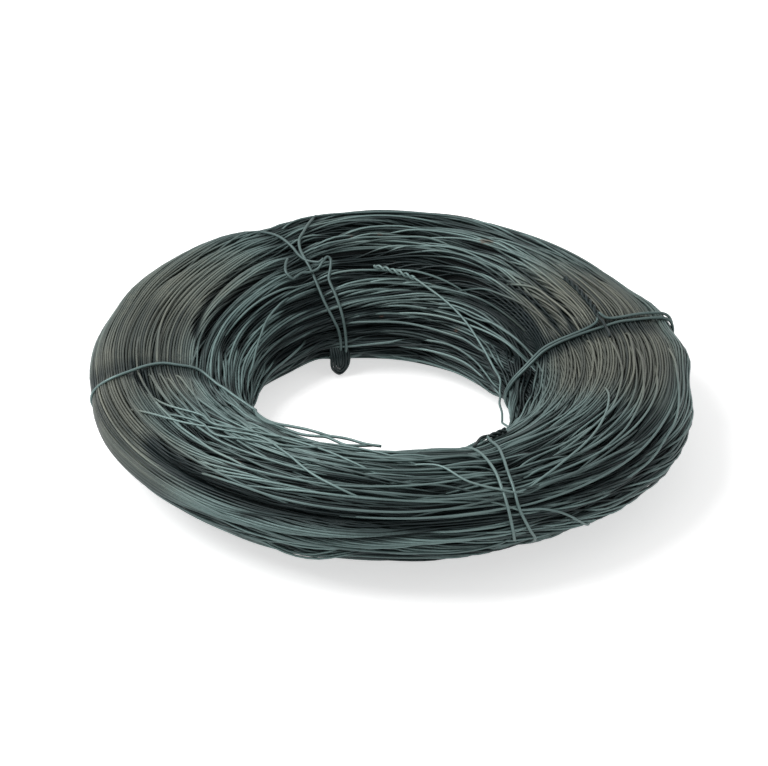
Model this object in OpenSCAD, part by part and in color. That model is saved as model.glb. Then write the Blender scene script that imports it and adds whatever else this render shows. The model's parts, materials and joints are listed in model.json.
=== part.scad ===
// Coil of annealed steel wire, lying flat and held by four twisted wire ties.
// Millimetres, +Z up. The origin is on the floor, under the middle of the bore.
// Directions round the coil are degrees from +X, counter-clockwise from above.

/* [Wire] */
// Diameter of the coiled wire
wire_d = 1.6; // [1.4:0.1:3]
// Depth of the furrow between two turns of the skin
furrow = 0.5; // [0.3:0.05:0.7]
// Width of the crest of a turn, which the winding drum and the floor have worn flat
crest = 0.6; // [0.4:0.05:0.8]

/* [Coil] */
// Outside diameter of the coil
coil_d = 400; // [370:1:450]
// Diameter of the bore
bore_d = 170; // [150:1:190]
// Height of the coil as it lies
coil_h = 70; // [60:1:85]
// Distance that the top of the section stands out past its middle, because the turns have slumped outwards
lean = 19; // [0:0.5:24]
// Flat stretch of the underside, pressed by the floor. Top, bore wall and outside are pressed as much
flat_w = 15; // [10:1:22]

/* [Ties] */
// Diameter of the tie wire
tie_d = 2; // [1.4:0.1:3]
// Gap between a tie and the turns that it draws in
tie_gap = 0.3; // [0.2:0.05:0.5]
// Depth of a tie below the skin of the coil
tie_sink = 0.2; // [0.1:0.05:1]
// Distance that a tie wire moves sideways each time that it goes round
wrap_step = 5; // [4:0.1:7]
// Length of tail in one full twist
twist_pitch = 12; // [9:0.5:20]
// Length over which the ends of a tie dive from its tail to the coil
tie_lead = 11; // [9:0.5:16]

/* [Right tie] */
// Direction of the right tie
right_at = 16; // [5:1:30]
// Length of its twisted tail
right_tail = 56; // [20:1:90]

/* [Back tie] */
// Direction of the back tie
back_at = 115; // [105:1:130]
// Length of its twisted tail
back_tail = 27; // [20:1:60]

/* [Left tie] */
// Direction of the left tie
left_at = 183; // [170:1:200]
// Length of its twisted tail
left_tail = 140; // [20:1:150]

/* [Front tie] */
// Direction of the front tie
front_at = 298; // [285:1:315]
// Length of its twisted tail
front_tail = 30; // [20:1:60]

/* [Hidden] */

// Places on the section are shares of the way round it: 0 outside, 0.17 on top, 0.5 in the bore, 0.67 below
ON_CROWN = 0.195;
ON_INNER_SHOULDER = 0.31;
ON_BORE_EDGE = 0.36;

// Each tie: direction, times round the coil, place of its tail, length of its tail, way that its tail runs
TIES = [
    [right_at, 2, ON_CROWN, right_tail, 1],
    [back_at, 2, ON_INNER_SHOULDER, back_tail, -1],
    [left_at, 1, ON_BORE_EDGE, left_tail, 1],
    [front_at, 2, ON_INNER_SHOULDER, front_tail, 1]
];
AT = 0;
TIMES = 1;
PLACE = 2;
TAIL = 3;
WAY = 4;

skin_steps = 720;
groove_steps = 80;
tie_sides = 8;
loop_steps = 64;
lead_steps = 6;
steps_per_twist = 8;
// Room that a cutting shape has outside the coil
spare = 10;
// Room between the two wires of a twist
twist_gap = 0.1;
// Distance to each side of a place between which the slope of the skin is taken
slope_step = 0.4;
// Shares of the lead of a tie after which it has turned across the coil, and from which it dives
turned_by = 0.6;
dives_from = 0.4;

half_w = (coil_d - bore_d) / 4;
half_h = coil_h / 2;
middle_r = bore_d / 2 + half_w;
// Angle round the ellipse between its middle height and its outermost place
slant = asin(lean / half_w);
// Size of the whole ellipse against the section, whose four sides are pressed flat
swell = norm([1, flat_w / 2 / (half_w * cos(slant))]);

tie_r = tie_d / 2;
groove_depth = tie_sink + tie_d + tie_gap;
loop_height = -tie_sink - tie_r;
twist_r = tie_r + twist_gap / 2;
tail_height = twist_r + tie_r + tie_gap;

function mix(a, b, u) = a + (b - a) * u;
function held(x, most) = max(-most, min(most, x));
function within(u) = max(0, min(1, u));
function ease(u) = u * u * (3 - 2 * u);
function unit(v) = v / norm(v);
function backwards(list) = [for (i = [len(list) - 1 : -1 : 0]) list[i]];

// Skin of the section in [r, z], from its outermost place: a leaning ellipse, pressed flat on its four sides
skin = [
    for (k = [0 : skin_steps - 1])
        let (a = 360 * k / skin_steps)
        [
            middle_r + held(swell * half_w * cos(a), half_w),
            half_h + held(swell * half_h * sin(a + slant), half_h)
        ]
];

// Distance along a closed path to each of its points, and to the first one again
function distances(path) =
    let (n = len(path))
    [for (i = 0, s = 0; i <= n; s = s + norm(path[(i + 1) % n] - path[i % n]), i = i + 1) s];

skin_distances = distances(skin);
girth = skin_distances[skin_steps];
skin_r = [for (i = [0 : skin_steps]) [skin_distances[i] / girth, skin[i % skin_steps][0]]];
skin_z = [for (i = [0 : skin_steps]) [skin_distances[i] / girth, skin[i % skin_steps][1]]];
// An even number, so that a turn lies on the middle of the bore wall as one does on the outside
turns = 2 * round(girth / 2 / wire_d);

// Point of the skin in [r, z] at a share of the way round
function skin_point(share) = let (u = share - floor(share)) [lookup(u, skin_r), lookup(u, skin_z)];

// Point at a height over the skin, square to it
function over_skin(share, height) =
    let (
        step = slope_step / girth,
        along = unit(skin_point(share + step) - skin_point(share - step))
    )
    skin_point(share) + height * [along[1], -along[0]];

// Section of the coil in [r, z], a given depth under its skin
function outline(depth) = [for (k = [0 : groove_steps - 1]) over_skin(k / groove_steps, -depth)];

// Section with the crest of every turn of its skin, and a furrow between each two
module section() {
    half_crest = crest / 2 / girth;
    polygon([
        for (i = [0 : turns - 1])
            each [
                over_skin((i - 0.5) / turns, -furrow),
                skin_point(i / turns - half_crest),
                skin_point(i / turns + half_crest)
            ]
    ]);
}

function groove_w(tie) = tie[TIMES] * wrap_step + tie_d + 2 * tie_gap;

// Groove across the coil in which the wires of a tie lie
module tie_groove(tie)
    rotate([90, 0, tie[AT]])
    linear_extrude(groove_w(tie), center = true)
    difference() {
        translate([bore_d / 2 - spare, -spare]) square([2 * half_w + 2 * spare, coil_h + 2 * spare]);
        polygon(outline(groove_depth));
    }

// The wound wire, drawn in under each tie
module coil()
    color([0.27, 0.31, 0.30])
    difference() {
        rotate_extrude($fn = 128) section();
        for (tie = TIES) tie_groove(tie);
    }

// Places of a tie wire are [distance sideways, share of the way round the section, height over the skin].
// Distance sideways of one end of the loop: end 1 is beside the tail and end -1 is away from it
function loop_end(tie, end) = end * tie[WAY] * tie[TIMES] * wrap_step / 2;

// One of the two wires of a twisted tail, from its mouth to its tip
function tail_places(tie, end) =
    let (
        twists = tie[TAIL] / twist_pitch,
        steps = ceil(twists * steps_per_twist)
    )
    [
        for (k = [0 : steps])
            let (u = k / steps, spin = end * 90 + 360 * twists * u)
            [
                tie[WAY] * (groove_w(tie) / 2 + tie[TAIL] * u),
                tie[PLACE] + twist_r * sin(spin) / girth,
                tail_height + twist_r * cos(spin)
            ]
    ];

// From the mouth of the tail, turning across the coil and then diving to the loop
function lead_places(tie, end) = [
    for (k = [1 : lead_steps])
        let (
            u = k / (lead_steps + 1),
            turn = 1 - pow(1 - within(u / turned_by), 2),
            dive = ease(within((u - dives_from) / (1 - dives_from)))
        )
        [
            mix(tie[WAY] * groove_w(tie) / 2, loop_end(tie, end), turn),
            tie[PLACE] + end * mix(twist_r, tie_lead, u * u) / girth,
            mix(tail_height, loop_height, dive)
        ]
];

// Round the coil as often as the tie goes, drifting sideways from one end to the other
function loop_places(tie) =
    let (
        steps = tie[TIMES] * loop_steps,
        lead = tie_lead / girth
    )
    [
        for (k = [0 : steps])
            let (u = k / steps)
            [
                mix(loop_end(tie, 1), loop_end(tie, -1), u),
                mix(tie[PLACE] + lead, tie[PLACE] + tie[TIMES] - lead, u),
                loop_height
            ]
    ];

// Whole run of a tie wire in space, from the tip of one end to the tip of the other
function tie_path(tie) =
    let (
        places = concat(
            backwards(tail_places(tie, 1)),
            lead_places(tie, 1),
            loop_places(tie),
            backwards(lead_places(tie, -1)),
            tail_places(tie, -1)
        )
    )
    [
        for (p = places)
            let (
                rz = over_skin(p[1], p[2]),
                direction = tie[AT] + p[0] / rz[0] * 180 / PI
            )
            [rz[0] * cos(direction), rz[0] * sin(direction), rz[1]]
    ];

// Round wire along a path, its rings carried along without twist
module wire(path, d) {
    n = len(path);
    ahead = [for (i = [0 : n - 1]) unit(path[min(n - 1, i + 1)] - path[max(0, i - 1)])];
    start = unit(cross(ahead[0], abs(ahead[0][2]) < 0.9 ? [0, 0, 1] : [1, 0, 0]));
    across = [
        for (i = 0, v = start; i < n; i = i + 1, v = i < n ? unit(v - (v * ahead[i]) * ahead[i]) : v) v
    ];
    points = [
        for (i = [0 : n - 1], k = [0 : tie_sides - 1])
            let (a = 360 * k / tie_sides)
            path[i] + d / 2 * (cos(a) * across[i] + sin(a) * cross(ahead[i], across[i]))
    ];
    sides = [
        for (i = [0 : n - 2], k = [0 : tie_sides - 1])
            let (a = i * tie_sides + k, b = i * tie_sides + (k + 1) % tie_sides)
            [a, a + tie_sides, b + tie_sides, b]
    ];
    first_cap = [for (k = [0 : tie_sides - 1]) k];
    last_cap = [for (k = [tie_sides - 1 : -1 : 0]) (n - 1) * tie_sides + k];
    polyhedron(points, concat(sides, [first_cap, last_cap]));
}

module tie(which) color([0.33, 0.37, 0.36]) wire(tie_path(TIES[which]), tie_d);

module tie_right() tie(0);
module tie_back() tie(1);
module tie_left() tie(2);
module tie_front() tie(3);

coil();
tie_right();
tie_back();
tie_left();
tie_front();
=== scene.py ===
"""A coil of dark annealed wire: its wound turns, its stray strands, the ties that hold it and a plain stage.

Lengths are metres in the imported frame: +Z up, the floor at Z 0, the bore on the Z axis. A place on the coil
is a direction round it, a share of the way round its section and a height over its skin. Directions are
from +X, counter-clockwise from above. Share 0 is outside, 0.17 on top, 0.5 in the bore and 0.67 below.
"""

import json

import bpy
import numpy as np
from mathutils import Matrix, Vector


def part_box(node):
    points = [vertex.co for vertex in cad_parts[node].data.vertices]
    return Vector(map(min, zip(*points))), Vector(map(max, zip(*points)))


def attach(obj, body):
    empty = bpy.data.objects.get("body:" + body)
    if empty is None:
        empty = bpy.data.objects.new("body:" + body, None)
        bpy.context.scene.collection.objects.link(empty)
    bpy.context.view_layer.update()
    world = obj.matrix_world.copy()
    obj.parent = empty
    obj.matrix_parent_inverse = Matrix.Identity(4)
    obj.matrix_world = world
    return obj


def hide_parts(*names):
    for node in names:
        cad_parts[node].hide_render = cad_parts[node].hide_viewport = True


bl_info = {
    "name": "Wire Coil",
    "version": (1, 0, 0),
    "blender": (4, 5, 0),
    "location": "3D View > Sidebar > Wire Coil",
    "description": "Winds a coil of annealed wire turn by turn, ties it and sets it on a plain stage",
    "category": "Add Mesh",
}

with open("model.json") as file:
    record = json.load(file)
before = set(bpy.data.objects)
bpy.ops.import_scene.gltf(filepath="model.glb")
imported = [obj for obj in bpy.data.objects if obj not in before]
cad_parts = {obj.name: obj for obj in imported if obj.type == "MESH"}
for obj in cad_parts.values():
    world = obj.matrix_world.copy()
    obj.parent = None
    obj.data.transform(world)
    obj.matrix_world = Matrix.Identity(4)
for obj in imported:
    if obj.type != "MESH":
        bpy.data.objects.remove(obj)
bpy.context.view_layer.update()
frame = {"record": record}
coil_low, coil_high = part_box("coil")
bore = next(mount for mount in frame["record"]["mounts"] if mount["name"] == "bore")

MM = 0.001
PHOTO_WIDTH = 768
PHOTO_HEIGHT = 766
BODY = "root"
BAKE_MAP = "OFBake"
BORE_R = bore["dims"]["r_mm"] * MM
OUTER_R = (coil_high.x - coil_low.x) / 2
SECTION_SAMPLES = 2048
# Share to each side of a place between which the direction along the section is taken
CHORD_STEP = 0.004
# Steps past the coil's seed from which strays and hanks draw their random numbers
STRAY_SEED = 1
HANK_SEED = 2

# Furrows between hanks: first and last direction in degrees, share at the first, middle and last of them,
# depth and half width in mm. One with less than no depth is a hank that stands out
FURROWS = (
    (208, 286, 0.085, 0.034, 0.056, 18, 6.0),
    (12, 112, 0.364, 0.322, 0.303, 16, 6.5),
    (-24, 32, 0.458, 0.412, 0.360, 12, 4.5),
    (178, 210, 0.152, 0.170, 0.190, 8, 3.5),
    (212, 254, 0.150, 0.178, 0.160, 7, 3.0),
    (212, 264, 0.152, 0.118, 0.100, 7, 2.4),
    (220, 264, 0.098, 0.066, 0.054, 6, 1.8),
    (238, 266, -0.008, 0.006, 0.018, 5, 2.0),
    (222, 286, -0.046, -0.034, 0.022, 6, 2.2),
    (236, 258, -0.110, -0.095, -0.075, 6, 2.2),
    (258, 294, -0.085, -0.045, -0.025, 6, 2.2),
    (256, 288, 0.178, 0.140, 0.108, 6, 2.4),
    (270, 312, 0.194, 0.182, 0.160, 8, 2.6),
    (270, 298, 0.110, 0.100, 0.090, 6, 2.2),
    (270, 298, 0.056, 0.054, 0.040, 6, 2.2),
    (270, 298, 0.015, 0.024, 0.032, 6, 2.2),
    (303, 338, 0.220, 0.190, 0.172, 8, 2.6),
    (312, 344, 0.145, 0.122, 0.095, 7, 2.6),
    (306, 338, 0.096, 0.098, 0.108, 8, 2.6),
    (292, 346, 0.046, 0.044, 0.062, 9, 2.8),
    (296, 340, -0.010, -0.006, 0.030, 8, 2.6),
    (298, 330, -0.115, -0.095, -0.080, 8, 3.5),
    (118, 146, 0.115, 0.120, 0.122, 5, 2.2),
    (108, 168, 0.205, 0.240, 0.295, 7, 2.4),
    (112, 174, 0.248, 0.290, 0.312, 8, 2.4),
    (106, 170, 0.318, 0.340, 0.370, 8, 2.6),
    (120, 160, 0.355, 0.370, 0.400, 6, 2.4),
    (66, 118, 0.128, 0.168, 0.235, 9, 3.0),
    (84, 112, 0.262, 0.266, 0.268, 7, 2.4),
    (86, 114, 0.335, 0.345, 0.362, 7, 2.6),
    (50, 90, 0.142, 0.132, 0.150, 7, 2.4),
    (14, 80, 0.265, 0.226, 0.196, 6, 2.0),
    (14, 88, 0.296, 0.274, 0.292, 7, 2.2),
    (32, 62, 0.104, 0.108, 0.124, 6, 2.2),
    (20, 54, 0.400, 0.408, 0.398, 9, 4.0),
    (106, 132, 0.388, 0.388, 0.386, 6, 2.4),
    (52, 156, 0.425, 0.470, 0.470, 8, 3.5),
    (62, 124, 0.520, 0.532, 0.552, 8, 4.0),
    (234, 268, -0.110, -0.110, -0.110, -3.5, 8.0),
    (256, 296, -0.110, -0.110, -0.110, 7.5, 12.0),
    (308, 340, -0.050, -0.045, -0.040, -3, 12.0),
    (328, 356, -0.020, -0.020, -0.020, -4, 12.0),
    (2, 30, 0.020, 0.020, 0.020, -7, 12.0),
    (112, 158, 0.060, 0.060, 0.060, -3.5, 16.0),
    (166, 200, 0.000, 0.000, 0.000, 2, 14.0),
    (226, 282, 0.345, 0.338, 0.335, 3, 12.0),
    (20, 160, 0.930, 0.935, 0.930, 6, 4.5),
    (40, 140, 0.020, 0.030, 0.040, 6, 4.0),
    (60, 200, 0.530, 0.540, 0.530, 5, 4.0),
    (230, 330, 0.450, 0.450, 0.440, 4, 4.0),
    (150, 330, 0.600, 0.610, 0.600, 5, 4.0),
    (20, 190, 0.660, 0.650, 0.660, 4, 4.0),
    (200, 420, 0.800, 0.790, 0.800, 5, 4.5),
)

# Bands of painted highlight and painted shade: paler or darker turns where light or shade falls on them, as
# for furrows, with the change of tone in place of the depth
PAINTED_LIGHT_BANDS = (
    (220, 270, 0.102, 0.078, 0.076, 0.60, 2.4),
    (208, 290, 0.085, 0.034, 0.056, -0.60, 5.0),
    (12, 112, 0.364, 0.322, 0.303, -0.60, 8.0),
    (-24, 40, 0.458, 0.412, 0.350, -0.70, 8.0),
    (228, 266, 0.020, 0.004, -0.004, 0.35, 3.0),
    (226, 254, -0.020, -0.022, -0.023, 0.25, 2.0),
    (236, 310, -0.060, -0.055, -0.045, 0.40, 9.0),
    (188, 228, 0.000, 0.000, 0.000, -0.40, 24.0),
    (338, 386, 0.410, 0.410, 0.410, -0.25, 14.0),
    (300, 346, 0.050, 0.050, 0.060, -0.35, 24.0),
    (112, 158, 0.200, 0.200, 0.200, 0.45, 30.0),
    (150, 196, 0.150, 0.150, 0.150, -0.12, 30.0),
    (126, 164, 0.362, 0.398, 0.446, 0.30, 3.0),
    (78, 100, 0.214, 0.217, 0.220, 0.25, 2.0),
    (88, 112, 0.345, 0.362, 0.382, 0.25, 2.0),
    (66, 116, 0.402, 0.408, 0.400, 0.20, 2.5),
    (60, 110, 0.085, 0.083, 0.065, 0.20, 4.0),
    (274, 300, 0.256, 0.245, 0.212, 0.15, 4.0),
    (5, 160, 0.460, 0.470, 0.470, -0.70, 24.0),
)

# How sharply a furrow or a band ends along the turns
BAND_EDGE = 2.5

# Waves round the section that part the turns into hanks, and how far each may swing round the coil
HANK_WAVES = (19, 31, 41, 49)
HANK_SWING = (0.6, 1.6)
# Share of the depth of a dip by which the hanks beside it stand out
HANK_RISE = 0.35
# Share of their depth that the dips have at the left and right of the coil
HANKS_AT_SIDES = 0.45

# Places where the turns lie tight: direction and its reach in degrees, share and its reach, how browned
TIGHT = (
    (166, 56, 0.16, 0.19, 0.7),
    (14, 46, 0.21, 0.20, 1),
    (204, 34, 0.03, 0.11, 0.6),
    (248, 34, -0.01, 0.05, 0),
)
# How sharply they end, and how sharply their brown ends round the coil and across its section
TIGHT_EDGE = 2.5
BROWN_EDGES = (1.4, 1.6)
# Share of their own drift and lift that turns lose there, and of their depth that inner layers lose
TIGHT_CALM = 0.7
TIGHT_RISE = 0.2

# Drift of all turns, in shares: its mean reach, how much that changes round the section and where it is most.
# Then the direction of its quick return, in degrees, and what each of its sines is divided by
DRIFT_REACH = 0.020
DRIFT_CHANGE = 0.012
DRIFT_MOST_AT = 0.2
DRIFT_RETURN = 227
DRIFT_PARTS = (1, 2.4, 4.5)
# Rounds of smoothing of a layer's own drift
DRIFT_ROUNDS = 40

# Layers of turns from the skin inwards: name, depth in wires, looseness, own drift in mm, stations,
# sides of the wire, tone, which falls layer by layer inwards as painted shade between the turns
LAYERS = (
    ("turns_outer", 0.55, 0.50, 12.0, 150, 5, 0.64),
    ("turns_second", 1.35, 0.25, 10.0, 128, 5, 0.30),
    ("turns_third", 2.20, 0.12, 7.0, 112, 5, 0.16),
    ("turns_inner", 3.10, 0.05, 4.0, 96, 4, 0.08),
)
# Depth of the dark heart, in wires
HEART_DEPTH = 3.9
# Shape of the random gaps between turns: a smaller one gives fewer and wider gaps
GAP_SHAPE = 0.45
# Passes that keep turns apart: rounds of smoothing, least step in wires, rounds of pushing
APART_PASSES = ((0, 0.99, 60), (3, 0.97, 20))
# Small waves of single turns, sideways and up: size in mm, fewest and most round the coil
SIDE_WAVES = (0.5, 2, 8)
LIFT_WAVES = (0.22, 1, 7)
# Share of the depth of a dip that the turns follow, and rounds of smoothing of their heights
DIP_FOLLOWED = 0.95
HEIGHT_ROUNDS = 2

# Spread of the turns' own tones, tone where they lie tight, the part of their own tone that is left in it and
# how far they go to it
OWN_SPREAD = 1.2
TIGHT_TONE = 0.52
TIGHT_OWN = 0.30
TIGHT_EVENED = 0.8
# Painted shade in dips: share of its tone that a turn loses in a dip, and the depth in mm at which it has
# lost that
DIP_SHADE = 0.88
DIP_DEPTH = 4.5
# Tone of the stubs, twisted tails and slack of the ties, kept low as painted shade for the shadow they hang
# in
PAINTED_SHADE_END = 0.08

# Directions of the ties, in degrees, how far each draws the coil in, and to what distance, in mm
PINCHES = ((15, 3.5), (116, 3.0), (183, 2.5), (298, 2.5))
PINCH_REACH = 11

# Runs of the tie wires: direction in degrees, share of the section, height in mm over the skin
LEFT_LOOP = (
    (206, 0.398, 2.2), (199, 0.39, 1.2), (194, 0.374, 0.5), (188, 0.357, 0.1), (183.5, 0.335, 0.0),
    (180.5, 0.305, 0.0), (181, 0.255, 0.0), (181.3, 0.22, 0.0), (183, 0.18, 0.0), (186.5, 0.11, -0.2),
    (186, 0.04, -2.0), (185, -0.05, -2.0), (184, -0.15, 0.0), (183, -0.25, 0.0), (183, -0.34, 0.0),
    (184.5, -0.42, 0.0), (188, -0.50, 0.0), (194, -0.555, 0.2), (200, -0.588, 1.0), (207, -0.604, 2.4),
)
RIGHT_LOOP = (
    (19, 0.198, 2.4), (17.5, 0.205, 1.4), (16.5, 0.228, 0.5), (16.2, 0.265, 0.0), (16.4, 0.31, 0.0),
    (16.2, 0.345, 0.0), (14.5, 0.38, 0.0), (13.2, 0.415, 0.0), (13, 0.485, 0.0), (13, 0.56, 0.0),
    (13.5, 0.65, 0.0), (14.5, 0.75, 0.0), (15.5, 0.85, 0.0), (17, 0.95, 0.4), (17.6, 0.99, 4.0),
    (18, 1.03, 6.2), (17.6, 1.07, 2.0), (17, 1.11, 0.2), (16.4, 1.16, 0.0), (15.4, 1.205, 0.0),
    (15.0, 1.265, 0.0), (15.1, 1.31, 0.0), (14.8, 1.345, 0.0), (13.0, 1.38, 0.0), (11.6, 1.415, 0.0),
    (11.4, 1.485, 0.0), (11.6, 1.56, 0.0), (12.4, 1.65, 0.0), (13.8, 1.75, 0.0), (15.6, 1.85, 0.0),
    (17.8, 1.95, 0.4), (18.7, 1.99, 4.0), (19.3, 2.03, 6.2), (18.9, 2.07, 2.0), (18.4, 2.11, 0.2),
    (17.8, 2.15, 0.3), (17.8, 2.18, 1.2), (19.4, 2.194, 2.4),
)
BACK_LOOP = (
    (118.4, 0.262, 3.2), (120.2, 0.28, 3.6), (121.6, 0.302, 3.6), (120.8, 0.322, 3.4), (119, 0.318, 3.2),
    (116.6, 0.312, 3.2), (114.5, 0.316, 3.4), (111.5, 0.315, 3.6), (109.5, 0.302, 3.8), (107.6, 0.292, 3.6),
    (106.8, 0.30, 2.4), (107.6, 0.32, 1.2), (109, 0.345, 0.5), (108.3, 0.383, 0.2), (107.6, 0.422, 0.3),
    (107.2, 0.46, 0.3), (107, 0.52, 0.2), (107, 0.58, 0.0), (107, 0.66, 0.0), (107, 0.75, 0.0),
    (106, 0.85, 0.0), (105, 0.95, -0.6), (104.2, 1.02, -1.0), (104.5, 1.082, -0.8), (106, 1.12, -0.3),
    (108, 1.152, 0.0), (110, 1.18, 0.2), (112, 1.203, 0.5), (113.2, 1.235, 1.2), (113.6, 1.27, 2.4),
    (113.4, 1.295, 2.2), (113.2, 1.32, 1.2), (113, 1.358, 0.4), (112.5, 1.40, 0.2), (111, 1.44, 0.2),
    (109.6, 1.473, 0.2), (109.2, 1.52, 0.2), (110, 1.58, 0.0), (112, 1.66, 0.0), (114, 1.75, 0.0),
    (116.5, 1.85, 0.0), (118, 1.95, -0.6), (118.4, 2.02, -1.0), (117.8, 2.08, -0.8), (117.2, 2.11, -0.2),
    (115.5, 2.162, 0.0), (114.5, 2.218, 0.1), (114.4, 2.25, 1.0), (113.8, 2.275, 2.4), (112.4, 2.29, 3.4),
    (110.6, 2.30, 4.0), (109, 2.296, 4.4),
)
FRONT_LOOP = (
    (306, 0.352, 2.2), (305, 0.336, 1.2), (303.6, 0.31, 0.3), (301.8, 0.26, 0.0), (299.5, 0.207, 0.0),
    (297.4, 0.15, 0.0), (296.3, 0.10, 0.0), (295.6, 0.04, 0.0), (297.5, -0.02, -0.2), (300, -0.075, -0.8),
    (301, -0.13, -1.2), (300.5, -0.22, -0.8), (299.5, -0.32, 0.0), (298.5, -0.42, 0.0), (297.8, -0.50, 0.0),
    (297.4, -0.58, 0.0), (297, -0.66, 0.0), (296.4, -0.72, 0.0), (295.3, -0.79, 0.0), (294.4, -0.855, 0.0),
    (293.5, -0.915, 0.0), (293.4, -0.98, 0.0), (294.6, -1.04, -1.0), (296.3, -1.08, -2.4), (298, -1.15, -2.4),
    (299, -1.25, -0.8), (299.4, -1.35, 0.0), (299.6, -1.45, 0.0), (300, -1.54, 0.2), (301.4, -1.61, 0.5),
    (303.5, -1.645, 1.4), (306, -1.652, 2.2),
)

# Loose ends of the ties beside their knots, and the slack of the back tie that hangs into the bore
LEFT_OVER = (
    (206, 0.398, 1.5), (214, 0.38, 1.6), (222, 0.362, 1.8), (228, 0.352, 2.6), (234.5, 0.345, 4.2),
    (241, 0.342, 5.2), (246.5, 0.34, 5.0), (250.5, 0.342, 4.2), (254.5, 0.342, 4.4), (258.5, 0.34, 4.0),
    (264, 0.33, 2.4), (269, 0.326, 1.8),
)
LEFT_UNDER = (
    (207, 0.396, 2.4), (214, 0.375, 1.0), (222, 0.357, 0.8), (228, 0.352, 1.6), (235.5, 0.344, 1.4),
    (241, 0.338, 1.4), (246, 0.336, 2.4), (250, 0.338, 3.2), (254, 0.33, 1.8), (258, 0.318, 0.6),
    (263, 0.328, 1.2), (266.5, 0.332, 2.0),
)
# The back tie's slack is four nested loops drawn close together in painted shade, so that the loop is filled
# dark as its shadow is
BACK_SLACKS = (
    ((112, 0.505, -8.0), (113.6, 0.522, 3.0), (114, 0.537, 8.0), (113, 0.547, 10.2), (110.5, 0.554, 11.8),
     (108, 0.551, 9.4), (106, 0.539, 4.8), (106, 0.522, -1.0), (107, 0.505, -9.0)),
    ((111.4, 0.505, -8.0), (112.4, 0.522, 2.7), (112.6, 0.538, 8.1), (111.8, 0.545, 9.8), (110, 0.550, 10.2),
     (108.2, 0.546, 8.1), (107.3, 0.539, 5.3), (107.2, 0.522, -0.5), (107.8, 0.505, -9.0)),
    ((110.6, 0.505, -8.0), (111.2, 0.522, 2.3), (111.3, 0.538, 7.7), (110, 0.545, 8.7), (108.7, 0.539, 6.3),
     (108.4, 0.522, 0.0), (108.6, 0.505, -9.0)),
    ((110, 0.505, -8.0), (110.3, 0.522, 2.0), (110, 0.541, 7.6), (109.4, 0.522, 1.6), (109.4, 0.505, -9.0)),
)
RIGHT_STUB = ((19, 0.20, 2.6), (15.5, 0.197, 3.6), (12, 0.197, 2.2), (8.5, 0.20, 1.0))
FRONT_STUB = ((306, 0.35, 2.4), (303, 0.345, 3.4), (300, 0.33, 2.4), (297.5, 0.31, 1.0))

# Twisted tails: first and last direction, first and last share, height, reach and length of a twist in mm
RIGHT_TAIL = (19, 37, 0.197, 0.188, 2.3, 1.05, 13)
FRONT_TAIL = (306, 314.5, 0.35, 0.355, 2.3, 1.05, 11)
STRAY_TAIL = (79, 93.5, 0.35, 0.326, 2.4, 1.05, 10)
TWIST_STATIONS = 72
# Share of a tail's length over which its wires part from each other
TWIST_OPENS = 0.25
TIE_SIDES = 10

# Strands that lie loose over the turns: direction, share, height in mm
STRAYS = (
    ((-26, 0.455, -5), (-18, 0.480, 3), (-10, 0.492, 4), (-2, 0.494, 4), (6, 0.492, 5.5), (12, 0.486, 7.5),
     (17, 0.472, 6), (24, 0.457, 3), (34, 0.442, 2.5), (43, 0.428, 2.5), (60, 0.395, 2), (72, 0.37, 2),
     (80, 0.348, 2)),
    ((349, 0.235, -5), (342, 0.205, 0.2), (335.5, 0.187, 0.8), (328, 0.168, 1.0), (320, 0.147, 1.2),
     (311.5, 0.125, 1.2), (302, 0.095, 1.0), (295, 0.08, 2.2), (287.5, 0.118, 1.0), (282.5, 0.185, 1.0),
     (275, 0.235, -5)),
    ((290, 0.075, -5), (295.5, 0.038, 0.6), (300.5, 0.026, 1.0), (305.5, -0.005, 1.2), (312, -0.075, 0.2),
     (316, -0.12, -9)),
    ((198.5, 0.095, -5), (206.5, 0.123, 0.8), (216, 0.158, 1.4), (224.5, 0.195, 1.2), (235.5, 0.223, 1.6),
     (245.5, 0.185, 1.4), (254, 0.13, 1.2), (261, 0.097, 1.0), (269, 0.075, -5)),
    ((196, 0.165, -5), (206, 0.172, 0.8), (215, 0.208, 1.6), (222, 0.198, 2.4), (230, 0.232, 1.8),
     (241, 0.258, 1.4), (252, 0.242, 1.2), (262, 0.195, 0.8), (272, 0.155, -5)),
    ((204, 0.145, -5), (212, 0.165, 0.8), (219, 0.183, 1.8), (226, 0.17, 1.4), (234, 0.192, 2.0),
     (246, 0.222, 1.4), (256, 0.255, 1.0), (266, 0.27, -5)),
    ((222, 0.262, -5), (230, 0.272, 1.0), (238, 0.255, 1.8), (247, 0.275, 1.2), (258, 0.29, 1.2),
     (270, 0.255, 0.8), (281, 0.215, -5)),
    ((168, 0.45, -5), (159, 0.438, 0.6), (146, 0.41, 0.8), (137.5, 0.385, 0.8), (130.5, 0.37, 0.6),
     (122, 0.35, -5)),
)
STRAY_SIDES = 7
# Part of a tie's draw by which a stray lies deeper under it
STRAY_DIP = 0.9

# Fields of random strays: direction and its reach in degrees, share and its reach, slope, number of strands
STRAY_FIELDS = (
    (180, 180, 0.50, 0.50, 0.02, 40),
    (243, 38, 0.20, 0.08, 0.06, 18),
    (318, 32, 0.13, 0.10, 0.04, 10),
    (80, 60, 0.38, 0.07, 0.02, 6),
)
# Random strays: knots, least and most length in degrees, wander in shares, steepness and power of their rise
STRAY_KNOTS = 10
STRAY_SPAN = (45, 110)
STRAY_WANDER = 0.0015
STRAY_STEEP = 4.5
STRAY_POWER = 0.6
# Depth of their ends below the furrows, least and most lift, and its changes from knot to knot, in mm
STRAY_DEEP = 9
STRAY_LIFT = (-0.8, 0.5)
STRAY_BUMPS = 0.3
# Least and most tone of the listed strays and of the random ones, and the tone of the twisted tail
HAND_TONES = (0.65, 0.9)
STRAY_TONES = (0.35, 0.8)
TAIL_TONE = 0.9

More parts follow.
